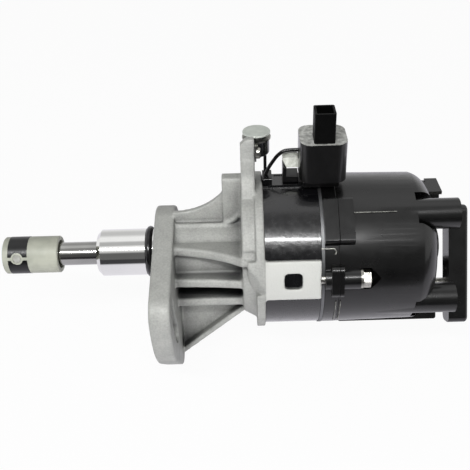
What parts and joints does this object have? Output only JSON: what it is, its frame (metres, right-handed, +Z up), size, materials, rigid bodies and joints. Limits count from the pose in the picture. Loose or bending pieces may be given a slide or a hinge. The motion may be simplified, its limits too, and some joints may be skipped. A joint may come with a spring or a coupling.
{
  "type": "ignition distributor",
  "caption": "Ignition distributor: ribbed cast housing with slotted mounting ear, coil and sensor body, domed cap with lead towers, and a sleeved drive shaft.",
  "frame": {"origin": "shaft axis at the face of the mounting ear that seats on the engine", "axes": "+X along the shaft towards the cap, +Z up through the plug, -Y towards the side with the timing slot"},
  "size_m": [0.2373, 0.1005, 0.1414],
  "materials": {
    "cast_aluminium": "sand cast, satin",
    "journal_steel": "ground and polished",
    "machined_steel": "ground",
    "plated_steel": "zinc plated",
    "bright_aluminium": "machined bright",
    "seal_rubber": "moulded",
    "bronze": "sintered",
    "brass_contact": "stamped",
    "spring_steel": "drawn wire",
    "carbon": "pressed carbon",
    "body_black": "glass-filled moulding",
    "cap_black": "moulded, semi-gloss",
    "rotor_black": "moulded",
    "plug_black": "moulded",
    "nylon_white": "moulded nylon",
    "band_black": "moulded",
    "can_metal": "drawn can",
    "can_base": "potted end",
    "lead_black": "insulated lead"
  },
  "bodies": {
    "housing": {"bar_legs": "plated_steel", "bar_screws": "plated_steel", "bearing_outer_race": "machined_steel", "bearing_retainer": "machined_steel", "brush_spring": "spring_steel", "cap": "cap_black", "cap_screws": "plated_steel", "cap_terminals": "brass_contact", "centre_terminal": "brass_contact", "clip_bracket": "band_black", "condenser_base": "can_base", "condenser_can": "can_metal", "condenser_lead": "lead_black", "condenser_strap": "plated_steel", "connector": "plug_black", "connector_pins": "brass_contact", "dust_cover": "cap_black", "housing": "cast_aluminium", "lead_clip": "nylon_white", "lead_grommet": "seal_rubber", "pickup_base": "machined_steel", "pickup_head": "body_black", "pickup_screws": "machined_steel", "pilot_journal": "journal_steel", "pilot_seal": "seal_rubber", "plug_lead": "lead_black", "retainer_bar": "cap_black", "retainer_screws": "machined_steel", "sensor_body": "body_black", "shaft_bush": "bronze", "shaft_seal": "seal_rubber", "spacer_ring": "bright_aluminium", "strap_screw": "plated_steel"},
    "shaft": {"drive_shaft": "machined_steel", "coupling_sleeve": "nylon_white", "coupling_band": "band_black", "coupling_pin": "machined_steel", "drive_dog": "machined_steel", "bearing_inner_race": "machined_steel", "shaft_circlip": "machined_steel", "signal_plate": "machined_steel", "signal_hub": "bright_aluminium", "rotor_arm": "rotor_black", "rotor_blade": "brass_contact", "rotor_screw": "machined_steel"},
    "cage": {"bearing_cage": "machined_steel", "bearing_balls": "machined_steel"},
    "brush": {"carbon_brush": "carbon"}
  },
  "joints": [
    {"name": "shaft_spin", "type": "hinge", "parent": "housing", "child": "shaft", "pos_m": [0, 0, 0], "axis": [1, 0, 0], "continuous": true},
    {"name": "cage_spin", "type": "hinge", "parent": "housing", "child": "cage", "pos_m": [0.0472, 0, 0], "axis": [1, 0, 0], "continuous": true},
    {"name": "brush_slide", "type": "slide", "parent": "housing", "child": "brush", "axis": [1, 0, 0], "range_m": [0, 0.0025], "stiffness_N_per_m": 120, "springref_m": -0.002, "deforming": ["brush_spring"]}
  ],
  "couplings": [
    {"joint": "cage_spin", "follows": "shaft_spin", "ratio": 0.3727}
  ]
}
